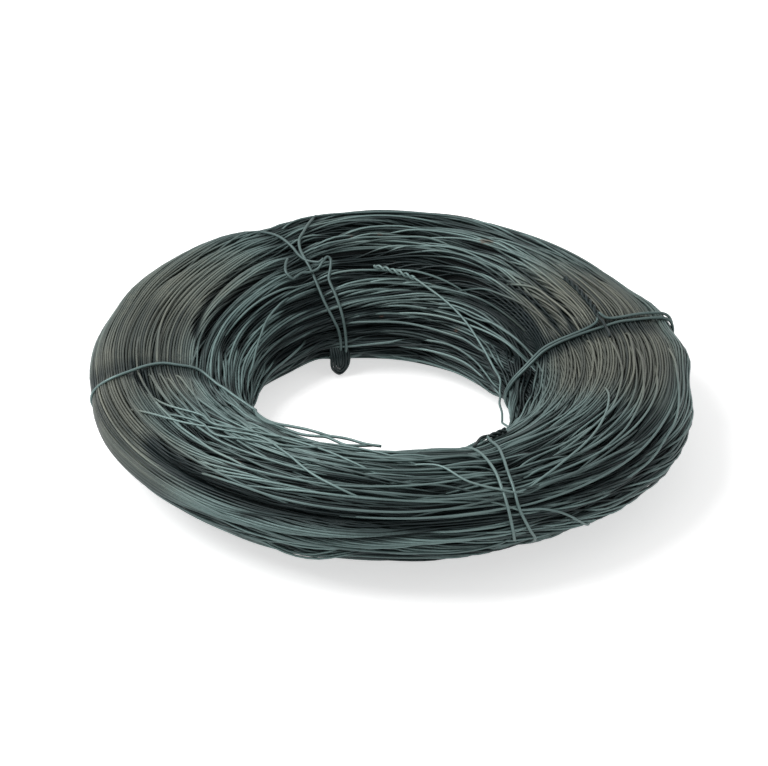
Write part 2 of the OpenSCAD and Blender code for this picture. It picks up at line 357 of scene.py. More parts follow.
# Strip of the bake map that a tube has: start and width of its wall, middle and radius of its two caps
WALL_START = 0.05
WALL_WIDTH = 0.7
CAP_AT = 0.87
CAP_ROWS = (0.25, 0.75)
CAP_R = 0.08

# Patches a metre in the finish: blotches along a wire, broad places, rust spots, grain and the heart's mottle
BLOTCH_SCALE = 26.0
BROAD_SCALE = 11.0
RUST_SCALE = 70.0
GRAIN_SCALE = 900.0
HEART_SCALE = 40.0
# How far the blotches of two tones lie apart, so that each turn has its own
BLOTCH_APART = (90.0, 37.0)

LAMP_AT = (-1.10, 0.05, 1.40)
LAMP_SIZE = 1.4


def smooth_step(value):
    """0 below 0 and 1 above 1, easing between them as 3 v^2 - 2 v^3."""
    held = np.clip(value, 0, 1)
    return held * held * (3 - 2 * held)


def unit(vectors):
    """Vectors of length 1, along the last axis."""
    return vectors / np.linalg.norm(vectors, axis=-1, keepdims=True)


def angle_past(direction, middle):
    """How far a direction is past another, from half a turn before it to half a turn after."""
    return (direction - middle + np.pi) % (2 * np.pi) - np.pi


def share_past(share, middle):
    """How far a share is past another, from half the way round the section before it to half after."""
    return (share - middle + 0.5) % 1 - 0.5


def round_coil(direction, mean, waves):
    """A mean with two slow waves round the coil: its cosine and sine, and those of twice the direction."""
    once = waves[0] * np.cos(direction) + waves[1] * np.sin(direction)
    twice = waves[2] * np.cos(2 * direction) + waves[3] * np.sin(2 * direction)
    return mean + once + twice


def number_setting(name, description, default, **limits):
    """Setting that holds one number."""
    return bpy.props.FloatProperty(name=name, description=description, default=default, **limits)


def length_setting(name, description, default):
    """Setting that holds a length."""
    return number_setting(name, description, default, unit="LENGTH")


def part_setting(name, description, default):
    """Setting that holds a number from 0 to 1."""
    return number_setting(name, description, default, min=0, max=1)


def list_setting(name, description, default, **limits):
    """Setting that holds several numbers."""
    return bpy.props.FloatVectorProperty(
        name=name, description=description, default=default, size=len(default), **limits
    )


def waves_setting(name, description, *sizes):
    """Setting that holds the sizes of two slow waves round the coil, given in mm."""
    return list_setting(name, description, [size * MM for size in sizes], unit="LENGTH")


def colour_setting(name, description, default):
    """Setting that holds a colour."""
    return list_setting(name, description, default, subtype="COLOR", min=0, max=1)


class CoilSettings(bpy.types.PropertyGroup):
    """Sizes of the coil."""

    wire_d: length_setting("Wire", "Diameter of the coiled wire", 1.6 * MM)
    tie_d: length_setting("Tie wire", "Diameter of the wire of the ties", 2.0 * MM)
    middle_r: length_setting(
        "Middle radius", "Middle of the coil to the middle of its section", (OUTER_R + BORE_R) / 2
    )
    middle_waves: waves_setting("Middle waves", "Waves of the middle radius", 0.0, 0.0, 0.0, -4.6)
    half_w: length_setting("Half width", "Half the width of the section", (OUTER_R - BORE_R) / 2)
    width_waves: waves_setting("Width waves", "Waves of the half width", 1.9, 0.2, 0.8, 0.2)
    half_h: length_setting("Half height", "Half the height of the section", coil_high.z / 2)
    height_waves: waves_setting("Height waves", "Waves of the half height", 0.3, 0.0, -2.7, 0.6)
    lean: length_setting("Lean", "How far the top of the section stands out past its middle", 19.0 * MM)
    hank_depth: length_setting("Hanks", "Depth of the small dips between hanks", 4.6 * MM)
    seed: bpy.props.IntProperty(name="Seed", description="Start of the random numbers", default=7)


class FinishSettings(bpy.types.PropertyGroup):
    """Colours and gloss of the wire."""

    dark: colour_setting("Dark scale", "Colour of the darkest turns", (0.011, 0.020, 0.021))
    light: colour_setting("Light scale", "Colour of the palest turns", (0.182, 0.267, 0.259))
    brown: colour_setting("Brown oxide", "Colour of the browned places", (0.210, 0.222, 0.184))
    rust: colour_setting("Rust", "Colour of the rust spots", (0.13, 0.060, 0.035))
    metal: part_setting("Metal", "How metallic the skin of the wire is", 0.28)
    roughness: part_setting("Roughness", "Mean roughness of the wire", 0.42)
    gloss: part_setting("Gloss", "How much the scale reflects; 0.5 is usual", 0.3)


class StageSettings(bpy.types.PropertyGroup):
    """Camera, lamps and floor."""

    elevation: number_setting(
        "Elevation", "Height of the camera above the floor as an angle", np.radians(31.08), subtype="ANGLE"
    )
    distance: length_setting("Distance", "Camera to the middle of the coil", 4.0)
    pixels_per_metre: number_setting(
        "Scale", "Pixels of the photograph for a metre at the coil's middle", 1502.5
    )
    middle_px: list_setting("Middle", "Pixel of the photograph where the coil's middle lies", (384.4, 395.0))
    sky: number_setting("Sky", "Strength of the even light from all round", 0.42)
    key: number_setting("Key", "Power of the large lamp overhead", 26.0, unit="POWER")
    floor: colour_setting("Floor", "Colour of the floor", (0.90, 0.90, 0.90))
    glow: colour_setting("Floor glow", "White that the floor adds where it is seen", (0.60, 0.60, 0.60))


class Skin:
    """Outside of the coil: a leaning ellipse carried round the bore, whose sizes wave slowly round the coil.

    The ellipse is half_w cos a across and half_h sin (a + slant) up, with sin slant = lean / half_w.
    """

    def __init__(self, coil):
        self.coil = coil
        angle = np.linspace(0, 2 * np.pi, SECTION_SAMPLES + 1)
        slant = np.arcsin(coil.lean / coil.half_w)
        self.x = coil.half_w * np.cos(angle)
        self.z = coil.half_h * np.sin(angle + slant)
        steps = np.hypot(np.diff(self.x), np.diff(self.z))
        self.girth = steps.sum()
        self.share = np.concatenate([[0], np.cumsum(steps)]) / self.girth
        rng = np.random.default_rng(coil.seed + HANK_SEED)
        self.hanks = [
            (count, *rng.uniform(0, 2 * np.pi, 2), rng.uniform(*HANK_SWING)) for count in HANK_WAVES
        ]

    def at(self, share):
        """Point of the mean section about its middle at a share of the way round."""
        held = share % 1
        return np.interp(held, self.share, self.x), np.interp(held, self.share, self.z)

    def along(self, share):
        """Direction along the mean section: its chord over a small step."""
        x_after, z_after = self.at(share + CHORD_STEP)
        x_before, z_before = self.at(share - CHORD_STEP)
        length = np.hypot(x_after - x_before, z_after - z_before)
        return (x_after - x_before) / length, (z_after - z_before) / length

    def swell(self, direction):
        """How much wider and how much taller than the mean the section is."""
        coil = self.coil
        wider = round_coil(direction, coil.half_w, coil.width_waves) / coil.half_w
        taller = round_coil(direction, coil.half_h, coil.height_waves) / coil.half_h
        return wider, taller

    def stretch(self, direction, share):
        """How much longer a small step along the section is than the same step of the mean section."""
        wider, taller = self.swell(direction)
        x, z = self.along(share)
        return np.hypot(x * wider, z * taller)

    def place(self, direction, share, height, least):
        """Points at places of the coil, none lower than the least height, and the skin's normals there.

        A point is the skin's, moved out by its height along the normal of the mean section.
        """
        coil = self.coil
        x, z = self.at(share)
        along_x, along_z = self.along(share)
        normal_x, normal_z = along_z, -along_x
        wider, taller = self.swell(direction)
        middle = round_coil(direction, coil.middle_r, coil.middle_waves)
        r = middle + wider * x + normal_x * height
        up = np.maximum(taller * (coil.half_h + z) + normal_z * height, least)
        cos, sin = np.cos(direction), np.sin(direction)
        points = np.stack([r * cos, r * sin, up], -1)
        normals = np.stack([normal_x * cos, normal_x * sin, normal_z + 0 * r], -1)
        return points, unit(normals)

    def drawn_in(self, direction, share):
        """Depth to which the ties draw the coil in: each a rounded dip about its own direction."""
        x, _ = self.at(share)
        r = self.coil.middle_r + x
        depth = 0
        for degrees, dip in PINCHES:
            away = angle_past(direction, np.radians(degrees)) * r / (PINCH_REACH * MM)
            depth = depth + dip * MM / (1 + away ** 4)
        return depth

    def tight(self, direction, share):
        """How even the turns lie and how browned they are: 1 in a tight place, 0 elsewhere, eased between."""
        even, brown = 0, 0
        round_edge, across_edge = BROWN_EDGES
        for degrees, reach, middle, width, browned in TIGHT:
            round_it = 1 - np.abs(angle_past(direction, np.radians(degrees))) / np.radians(reach)
            across = 1 - np.abs(share_past(share, middle)) / width
            even = even + smooth_step(TIGHT_EDGE * round_it) * smooth_step(TIGHT_EDGE * across)
            brown = brown + browned * smooth_step(round_edge * round_it) * smooth_step(across_edge * across)
        return np.clip(even, 0, 1), np.clip(brown, 0, 1)

    def banded(self, bands, direction, share):
        """Sum of bands along the turns: each a bell across the section that fades at its two ends."""
        total = 0
        for first, last, start, middle, end, amount, half in bands:
            reach = np.radians(last - first) / 2
            way = angle_past(direction, np.radians(first + last) / 2) / reach
            line = middle + (end - start) / 2 * way + ((start + end) / 2 - middle) * way ** 2
            across = share_past(share, line) * self.girth / (half * MM)
            total = total + amount * smooth_step(BAND_EDGE * (1 - np.abs(way))) * np.exp(-(across ** 2))
        return total

    def furrowed(self, direction, share):
        """Depth of the furrows between hanks."""
        return MM * self.banded(FURROWS, direction, share)

    def hanked(self, direction, share):
        """Depth of the small dips between hanks: waves along the section that wander round the coil."""
        level = 0
        for count, phase, turn, swing in self.hanks:
            level = level + np.sin(2 * np.pi * count * share + phase + swing * np.sin(direction + turn))
        limb = HANKS_AT_SIDES + (1 - HANKS_AT_SIDES) * np.sin(direction) ** 2
        return self.coil.hank_depth * limb * (smooth_step(0.5 - level / 3) - HANK_RISE)

    def sunk(self, direction, share):
        """Depth of all dips together at a place: furrows, hanks and ties."""
        even, _ = self.tight(direction, share)
        followed = share - main_drift(direction, share)
        dips = self.furrowed(direction, share) + (1 - even) * self.hanked(direction, followed)
        return dips + self.drawn_in(direction, share)


def main_drift(direction, share):
    """Drift of all turns: a slow slip inwards and one quick return at the near left, from a sum of sines."""
    reach = DRIFT_REACH + DRIFT_CHANGE * np.cos(2 * np.pi * (share - DRIFT_MOST_AT))
    past = direction - np.radians(DRIFT_RETURN)
    return -reach * sum(np.sin(times * past) / part for times, part in enumerate(DRIFT_PARTS, 1))


def own_drift(rng, direction, share, reach, waves=5):
    """Drift of one layer: waves round the coil and round its section, so that neighbours go together."""
    total = 0
    for count in range(1, waves + 1):
        for lean in (-1, 0, 1):
            size = rng.normal() * reach / count / 2
            phase = rng.uniform(0, 2 * np.pi)
            total = total + size * np.sin(count * direction + 2 * np.pi * lean * share + phase)
    return total


def spread_turns(rng, girth, wire_d, looseness):
    """Shares of a layer's turns: steps of one wire, each widened by a random gap, scaled to go round once."""
    count = int(girth / wire_d / (1 + looseness))
    steps = 1 + looseness * rng.gamma(GAP_SHAPE, 1 / GAP_SHAPE, count)
    return np.cumsum(steps) / steps.sum()


def keep_apart(share, least, rounds):
    """Pushes neighbouring turns of a layer apart, half each, where they are nearer than the least step."""
    for _ in range(rounds):
        gap = np.roll(share, -1, 0) - share
        gap[-1] += 1
        push = np.maximum(least - gap, 0) / 2
        share = share - push + np.roll(push, 1, 0)
    return share


def smooth_round(values, rounds):
    """Each value is drawn halfway to the mean of those before and after it, round the coil."""
    for _ in range(rounds):
        values = values / 2 + (np.roll(values, 1, -1) + np.roll(values, -1, -1)) / 4
    return values


def small_waves(rng, direction, count, size, first, last):
    """Small random waves for each of several turns, shorter ones smaller."""
    total = 0
    for times in range(first, last + 1):
        reach = rng.normal(0, size / times ** 0.5, (count, 1))
        phase = rng.uniform(0, 2 * np.pi, (count, 1))
        total = total + reach * np.sin(times * direction + phase)
    return total


def wound_layer(rng, skin, depth, looseness, reach, stations):
    """Directions, shares and heights of the turns of one layer, each a closed ring."""
    wire_d = skin.coil.wire_d
    direction = np.linspace(0, 2 * np.pi, stations, endpoint=False)[None, :]
    girth = skin.girth - 2 * np.pi * depth
    start = spread_turns(rng, girth, wire_d, looseness)[:, None]
    count = len(start)
    even, _ = skin.tight(direction, start)
    drift = own_drift(rng, direction, start, reach / skin.girth) * (1 - TIGHT_CALM * even)
    share = start + main_drift(direction, start) + smooth_round(drift, DRIFT_ROUNDS)
    size, fewest, most = SIDE_WAVES
    share = share + small_waves(rng, direction, count, size * MM / skin.girth, fewest, most)
    least = wire_d / girth / skin.stretch(direction, share)
    for smoothing, step, pushes in APART_PASSES:
        share = keep_apart(smooth_round(share, smoothing), step * least, pushes)
    direction = np.broadcast_to(direction, share.shape)
    even, _ = skin.tight(direction, share)
    size, fewest, most = LIFT_WAVES
    lift = small_waves(rng, direction, count, size * MM, fewest, most) * (1 - TIGHT_CALM * even)
    if depth > wire_d:
        depth = depth * (1 - TIGHT_RISE * even)
    height = lift - depth - DIP_FOLLOWED * skin.sunk(direction, share)
    return direction, share, smooth_round(height, HEIGHT_ROUNDS)


def tube_rings(path, normals, radius, sides, closed):
    """Rings of points round paths: radius times (cos a of the normal + sin a of the sideways vector)."""
    if closed:
        ahead = unit(np.roll(path, -1, 1) - np.roll(path, 1, 1))
    else:
        ahead = unit(np.gradient(path, axis=1))
    across = unit(np.cross(ahead, normals))
    upward = np.cross(across, ahead)
    angle = 2 * np.pi * np.arange(sides) / sides
    ring = np.cos(angle)[:, None] * upward[..., None, :] + np.sin(angle)[:, None] * across[..., None, :]
    return path[..., None, :] + radius * ring


def tube_faces(count, stations, sides, closed):
    """Corners of the quads of tubes, as vertex numbers and as places on a map with a unit strip for each."""
    spans = stations if closed else stations - 1
    tube, station, side = np.meshgrid(np.arange(count), np.arange(spans), np.arange(sides), indexing="ij")
    numbers, places = [], []
    for step, turn in ((0, 0), (0, 1), (1, 1), (1, 0)):
        ring = (station + step) % stations
        number = (tube * stations + ring) * sides + (side + turn) % sides
        across = tube + WALL_START + WALL_WIDTH * (side + turn) / sides
        numbers.append(number)
        places.append(np.stack([across, (station + step) / spans], -1))
    return np.stack(numbers, -1).reshape(-1, 4), np.stack(places, -2).reshape(-1, 4, 2)


def cap_faces(count, stations, sides):
    """End caps of open tubes, as vertex numbers and as two small rings beside the wall on the strip."""
    tube, side = np.meshgrid(np.arange(count), np.arange(sides), indexing="ij")
    angle = 2 * np.pi * side / sides
    first = tube * stations * sides + side[:, ::-1]
    last = (tube * stations + stations - 1) * sides + side
    across, along = tube + CAP_AT + CAP_R * np.cos(angle), CAP_R * np.sin(angle)
    rings = [np.stack([across, row + along], -1) for row in CAP_ROWS]
    return np.concatenate([first, last]), np.concatenate(rings)


def add_mesh(name, vertices, groups, attributes):
    """A smooth mesh from arrays: vertices, groups of faces with as many corners each, vertex attributes."""
    mesh = bpy.data.meshes.new(name)
    corners = np.concatenate([numbers.ravel() for numbers, _ in groups])
    places = np.concatenate([uv.reshape(-1, 2) for _, uv in groups])
    totals = np.concatenate([np.full(len(numbers), numbers.shape[1]) for numbers, _ in groups])
    starts = np.concatenate([[0], np.cumsum(totals)[:-1]])
    mesh.vertices.add(len(vertices))
    mesh.loops.add(len(corners))
    mesh.polygons.add(len(totals))
    mesh.vertices.foreach_set("co", vertices.astype(np.float32).ravel())
    mesh.loops.foreach_set("vertex_index", corners.astype(np.int32))
    mesh.polygons.foreach_set("loop_start", starts.astype(np.int32))
    mesh.update(calc_edges=True)
    bake_map = mesh.uv_layers.new(name=BAKE_MAP)
    bake_map.uv.foreach_set("vector", places.astype(np.float32).ravel())
    for key, values in attributes.items():
        layer = mesh.attributes.new(key, "FLOAT", "POINT")
        layer.data.foreach_set("value", values.astype(np.float32).ravel())
    mesh.polygons.foreach_set("use_smooth", np.ones(len(totals), bool))
    mesh.validate()
    piece = bpy.data.objects.new(name, mesh)
    bpy.context.scene.collection.objects.link(piece)
    return piece


def add_tubes(name, runs, radius, sides, closed):
    """One piece from groups of tubes: each is its points, its normals, and the tone and brown along it."""
    vertices, groups = [], []
    attributes = {"tone": [], "brown": [], "run": []}
    strips = sum(len(points) for points, *_ in runs)
    base, strip = 0, 0
    for points, normals, tone, brown in runs:
        count, stations = points.shape[:2]
        rings = tube_rings(points, normals, radius, sides, closed)
        faces = [tube_faces(count, stations, sides, closed)]
        if not closed:
            faces.append(cap_faces(count, stations, sides))
        groups += [(numbers + base, (places + (strip, 0)) / (strips, 1)) for numbers, places in faces]
        vertices.append(rings.reshape(-1, 3))
        steps = np.linalg.norm(np.diff(points, axis=1, prepend=points[:, :1]), axis=-1)
        for key, values in (("tone", tone), ("brown", brown), ("run", np.cumsum(steps, 1))):
            at_stations = np.broadcast_to(values, steps.shape)[..., None]
            attributes[key].append(np.broadcast_to(at_stations, rings.shape[:3]).ravel())
        base += count * stations * sides
        strip += count
    attributes = {key: np.concatenate(values) for key, values in attributes.items()}
    return add_mesh(name, np.concatenate(vertices), groups, attributes)


def rounded_run(knots, per_span=7):
    """Smooth run through given places: a Catmull-Rom curve, sampled evenly between each two."""
    knots = np.array(knots, float)
    padded = np.concatenate([[2 * knots[0] - knots[1]], knots, [2 * knots[-1] - knots[-2]]])
    u = np.linspace(0, 1, per_span, endpoint=False)[:, None]
    a, b, c, d = (padded[i: len(padded) - 3 + i, None, :] for i in range(4))
    curve = 2 * b + (c - a) * u
    curve = curve + (2 * a - 5 * b + 4 * c - d) * u ** 2 + (3 * b - a - 3 * c + d) * u ** 3
    return np.concatenate([curve.reshape(-1, knots.shape[1]) / 2, knots[-1:]])


def run_on_coil(skin, knots, wire_d, tone, stray=False):
    """A wire whose heights are over where it would lie on the skin. A stray dips under ties and browns."""
    places = rounded_run(knots)
    direction, share = np.radians(places[:, 0]), places[:, 1]
    height = places[:, 2] * MM + wire_d / 2 - (1 + STRAY_DIP * stray) * skin.drawn_in(direction, share)
    points, normals = skin.place(direction, share, height, wire_d / 2)
    _, brown = skin.tight(direction, share)
    return points[None], normals[None], tone, stray * brown


def twisted_pair(skin, tail, wire_d, tone):
    """Two wires wound round each other along the skin: each a helix about their middle, narrow at first."""
    first, last, share_first, share_last, height, reach, pitch = tail
    u = np.linspace(0, 1, TWIST_STATIONS)
    direction = np.radians(first + (last - first) * u)
    share = share_first + (share_last - share_first) * u
    middle, normals = skin.place(direction, share, height * MM - skin.drawn_in(direction, share), wire_d / 2)
    steps = np.linalg.norm(np.diff(middle, axis=0, prepend=middle[:1]), axis=-1)
    turn = 2 * np.pi * np.cumsum(steps) / (pitch * MM)
    across = unit(np.cross(unit(np.gradient(middle, axis=0)), normals))
    apart = (wire_d / 2 + (reach * MM - wire_d / 2) * smooth_step(u / TWIST_OPENS))[:, None]
    runs = []
    for half in (0, np.pi):
        out = np.cos(turn + half)[:, None] * normals + np.sin(turn + half)[:, None] * across
        runs.append(((middle + apart * out)[None], normals[None], tone, 0))
    return runs


class Value:
    """A shader socket in an expression: each operator adds the Math node that works it out."""

    def __init__(self, nodes, socket):
        self.nodes = nodes
        self.socket = socket

    def math(self, operation, *values):
        """Result of a Math node."""
        return self.nodes.value("ShaderNodeMath", 0, {"operation": operation}, dict(enumerate(values)))

    def __add__(self, other):
        return self.math("ADD", self, other)

    def __sub__(self, other):
        return self.math("SUBTRACT", self, other)

    def __rsub__(self, other):
        return self.math("SUBTRACT", other, self)

    def __mul__(self, other):
        return self.math("MULTIPLY", self, other)

    __radd__ = __add__
    __rmul__ = __mul__

    def eased(self, low, high):
        """0 at low, 1 at high, and eased between them."""
        settings = {"interpolation_type": "SMOOTHSTEP"}
        inputs = {"Value": self, "From Min": low, "From Max": high}
        return self.nodes.value("ShaderNodeMapRange", "Result", settings, inputs)


class Nodes:
    """The nodes of a material or of the world."""

    def __init__(self, owner):
        owner.use_nodes = True
        self.owner = owner
        self.tree = owner.node_tree
        self.tree.nodes.clear()

    def node(self, kind, settings=None, inputs=None):
        """A node of that type, its settings made first and then its sockets given values or links."""
        node = self.tree.nodes.new(kind)
        for key, value in (settings or {}).items():
            setattr(node, key, value)
        for key, value in (inputs or {}).items():
            if isinstance(value, Value):
                self.tree.links.new(value.socket, node.inputs[key])
            elif isinstance(value, bpy.types.NodeSocket):
                self.tree.links.new(value, node.inputs[key])
            else:
                node.inputs[key].default_value = value
        return node

    def value(self, kind, output, settings=None, inputs=None):
        """One output of a new node, for use in expressions."""
        return Value(self, self.node(kind, settings, inputs).outputs[output])

    def attribute(self, name):
        """One of the numbers that the wires carry along them."""
        return self.value("ShaderNodeAttribute", "Fac", {"attribute_name": name})

    def noise(self, vector, scale, detail=3.0):
        """Soft noise from 0 to 1, with about as many patches a unit as its scale."""
        inputs = {"Vector": vector, "Scale": scale, "Detail": detail}
        return self.value("ShaderNodeTexNoise", "Fac", None, inputs)

    def mixed(self, share, first, second):
        """Colour that goes from the first to the second as share goes from 0 to 1."""
        node = self.node("ShaderNodeMix", {"data_type": "RGBA"}, {0: share, 6: first, 7: second})
        return node.outputs[2]

    def seen(self):
        """1 for rays of the camera, of reflections and of see-through surfaces, which show the background."""
        path = self.node("ShaderNodeLightPath")
        rays = [Value(self, path.outputs[f"Is {kind} Ray"]) for kind in ("Camera", "Glossy", "Transmission")]
        return rays[0].math("MAXIMUM", rays[0].math("MAXIMUM", rays[0], rays[1]), rays[2])

    def surface(self, inputs):
        """The finished material, with one shader that has these inputs."""
        shader = self.node("ShaderNodeBsdfPrincipled", None, inputs)
        self.node("ShaderNodeOutputMaterial", None, {"Surface": shader.outputs[0]})
        return self.owner


def opaque(colour, brightness=1.0):
    """A colour made brighter or darker, with an alpha of 1."""
    return (*(brightness * np.array(colour)), 1.0)


def wire_finish(name, colours):
    """Annealed scale: each turn has its own tone, which also carries painted shade and painted highlight,
    blotched along it, with browned places and rust spots.
    """
    nodes = Nodes(bpy.data.materials.new(name))
    place = nodes.node("ShaderNodeTexCoord").outputs["Object"]
    tone, brown, run = (nodes.attribute(key) for key in ("tone", "brown", "run"))
    inputs = {0: run * BLOTCH_SCALE, 1: tone * BLOTCH_APART[0], 2: tone * BLOTCH_APART[1]}
    along = nodes.node("ShaderNodeCombineXYZ", None, inputs)
    blotch = nodes.noise(along.outputs[0], 1.0) - 0.5
    broad = nodes.noise(place, BROAD_SCALE) - 0.5
    grain = nodes.noise(place, GRAIN_SCALE, 2.0) - 0.5
    shade = (tone * (blotch * 0.9 + broad * 0.6 + 1.0)).eased(0.0, 1.0)
    scale = nodes.mixed(shade, opaque(colours.dark), opaque(colours.light))
    oxide = nodes.mixed(shade, opaque(colours.dark), opaque(colours.brown))
    browned = (brown + broad * 0.8 + blotch * 0.5).eased(0.0, 0.9)
    annealed = nodes.mixed(browned, scale, oxide)
    spots = (nodes.noise(place, RUST_SCALE) + broad * 0.6).eased(0.78, 0.86) * 0.6
    colour = nodes.mixed(spots, annealed, opaque(colours.rust))
    rough = blotch * 0.22 + grain * 0.12 + spots * 0.25 + colours.roughness
    bump = nodes.node("ShaderNodeBump", None, {"Strength": 0.25, "Distance": 0.2 * MM, "Height": grain})
    return nodes.surface({
        "Base Color": colour,
        "Metallic": (1 - spots) * colours.metal,
        "Roughness": rough,
        "Specular IOR Level": colours.gloss,
        "Normal": bump.outputs[0],
    })


def heart_finish(colours):
    """Painted shade between the turns: the dark scale at a fifth to three fifths of its colour, mottled, with
    little gloss.
    """
    nodes = Nodes(bpy.data.materials.new("heart_of_the_coil"))
    place = nodes.node("ShaderNodeTexCoord").outputs["Object"]
    mottle = nodes.noise(place, HEART_SCALE)
    # Painted shade: the heart is darker than the darkest turns, for the shade deep between them
    colour = nodes.mixed(mottle, opaque(colours.dark, 0.2), opaque(colours.dark, 0.6))
    return nodes.surface({"Base Color": colour, "Roughness": 0.9})


def dress(piece, material, slot, *nodes):
    """Gives a piece its material and body, and hides the frame's nodes that it stands for. The slot is not
    used.
    """
    piece.data.materials.append(material)
    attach(piece, BODY)
    if nodes:
        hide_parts(*nodes)


class WIRECOIL_OT_wind(bpy.types.Operator):
    """Wind the layers of turns over the dark heart of the coil"""

    bl_idname = "wirecoil.wind"
    bl_label = "Wind the turns"

    def execute(self, context):
        coil, colours = context.scene.wire_coil, context.scene.wire_finish
        skin = Skin(coil)
        rng = np.random.default_rng(coil.seed)
        material = wire_finish("annealed_wire", colours)
        for name, wires, looseness, reach, stations, sides, mean_tone in LAYERS:
            depth = wires * coil.wire_d
            direction, share, height = wound_layer(rng, skin, depth, looseness, reach * MM, stations)
            points, normals = skin.place(direction, share, height, coil.wire_d / 2)
            # The layer's mean tone, lower for deeper layers, is painted shade between the turns
            tone, brown = self.tones(rng, skin, direction, share, mean_tone)
            piece = add_tubes(name, [(points, normals, tone, brown)], coil.wire_d / 2, sides, True)
            dress(piece, material, "wire", "coil")
        self.add_heart(skin, heart_finish(colours))
        return {"FINISHED"}

    def tones(self, rng, skin, direction, share, mean):
        """Tones of turns about their layer's mean, evened in tight places, with painted shade in dips and
        painted highlight and shade in bands; their brown.
        """
        tight, brown = skin.tight(direction, share)
        own = rng.normal(0, OWN_SPREAD, (len(share), 1)) * mean * (1 - mean)
        even = TIGHT_TONE + TIGHT_OWN * own
        tone = mean + own + (even - mean - own) * TIGHT_EVENED * tight
        # Painted shade: turns grow darker the deeper they lie in furrows, hank dips and under the ties
        tone = tone * (1 - DIP_SHADE * smooth_step(skin.sunk(direction, share) / (DIP_DEPTH * MM)))
        # Painted highlight and painted shade from the bands of paler and darker turns
        return np.clip(tone + mean * skin.banded(PAINTED_LIGHT_BANDS, direction, share), 0, 1), brown

    def add_heart(self, skin, material):
        """One thick closed tube in painted shade under all the layers, which stops the view between the
        turns.
        """
        stations, sides = 180, 96
        direction, share = np.meshgrid(
            np.linspace(0, 2 * np.pi, stations, endpoint=False), np.linspace(0, 1, sides, endpoint=False),
            indexing="ij"
        )
        height = -HEART_DEPTH * skin.coil.wire_d - skin.sunk(direction, share)
        points, _ = skin.place(direction, share, height, skin.coil.wire_d)
        # Shares go round the section the other way than the sides of a wire, so the corners are turned round
        faces = [np.roll(corners[:, ::-1], 1, 1) for corners in tube_faces(1, stations, sides, True)]
        heart = add_mesh("heart", points.reshape(-1, 3), [faces], {})
        dress(heart, material, "wire", "coil")


class WIRECOIL_OT_strays(bpy.types.Operator):
    """Lay the stray strands over the turns"""

    bl_idname = "wirecoil.strays"
    bl_label = "Lay the stray strands"

    def execute(self, context):
        coil, colours = context.scene.wire_coil, context.scene.wire_finish
        skin = Skin(coil)
        rng = np.random.default_rng(coil.seed + STRAY_SEED)
        runs = [run_on_coil(skin, knots, coil.wire_d, rng.uniform(*HAND_TONES), True) for knots in STRAYS]
        runs += twisted_pair(skin, STRAY_TAIL, coil.wire_d, TAIL_TONE)
        for *field, count in STRAY_FIELDS:
            runs += [self.random_stray(rng, skin, *field) for _ in range(count)]
        piece = add_tubes("strays", runs, coil.wire_d / 2, STRAY_SIDES, False)
        dress(piece, wire_finish("stray_wire", colours), "wire", "coil")
        return {"FINISHED"}

    def random_stray(self, rng, skin, degrees, reach, middle, width, slope):
        """A strand that comes up between the turns, crosses some of them and goes down again."""
        u = np.linspace(-0.5, 0.5, STRAY_KNOTS)
        direction = degrees + rng.uniform(-reach, reach) + rng.uniform(*STRAY_SPAN) * u
        lean = rng.normal(0, slope)
        wander = rng.normal(0, STRAY_WANDER, STRAY_KNOTS)
        share = middle + rng.uniform(-width, width) + lean * u + wander
        share = share + main_drift(np.radians(direction), share)
        rise = np.clip(STRAY_STEEP * (0.5 - np.abs(u)), 0, 1) ** STRAY_POWER
        deep = STRAY_DEEP + skin.furrowed(np.radians(direction), share) / MM
        lift = rng.uniform(*STRAY_LIFT) + rng.normal(0, STRAY_BUMPS, STRAY_KNOTS)
        knots = np.stack([direction, share, rise * (deep + lift) - deep], -1)
        return run_on_coil(skin, knots, skin.coil.wire_d, rng.uniform(*STRAY_TONES), True)


class WIRECOIL_OT_tie(bpy.types.Operator):
    """Tie the coil with four wires and twist their ends"""

    bl_idname = "wirecoil.tie"
    bl_label = "Tie the coil"

    def execute(self, context):
        coil, colours = context.scene.wire_coil, context.scene.wire_finish
        skin = Skin(coil)
        material = wire_finish("tie_wire", colours)
        ties = (
            ("tie_wire_left", "tie_left", (LEFT_LOOP, LEFT_OVER, LEFT_UNDER), (), None, 0.72),
            ("tie_wire_right", "tie_right", (RIGHT_LOOP,), (RIGHT_STUB,), RIGHT_TAIL, 0.52),
            ("tie_wire_back", "tie_back", (BACK_LOOP,), BACK_SLACKS, None, 0.46),
            ("tie_wire_front", "tie_front", (FRONT_LOOP,), (FRONT_STUB,), FRONT_TAIL, 0.74),
        )
        for name, node, wires, painted_shade_wires, tail, tone in ties:
            runs = [run_on_coil(skin, knots, coil.tie_d, tone) for knots in wires]
            # Stubs, slack and twisted tails get the low tone of painted shade
            runs += [run_on_coil(skin, knots, coil.tie_d, PAINTED_SHADE_END) for knots in painted_shade_wires]
            if tail:
                runs += twisted_pair(skin, tail, coil.tie_d, PAINTED_SHADE_END)
            piece = add_tubes(name, runs, coil.tie_d / 2, TIE_SIDES, False)
            dress(piece, material, "tie_wire", node)
        return {"FINISHED"}


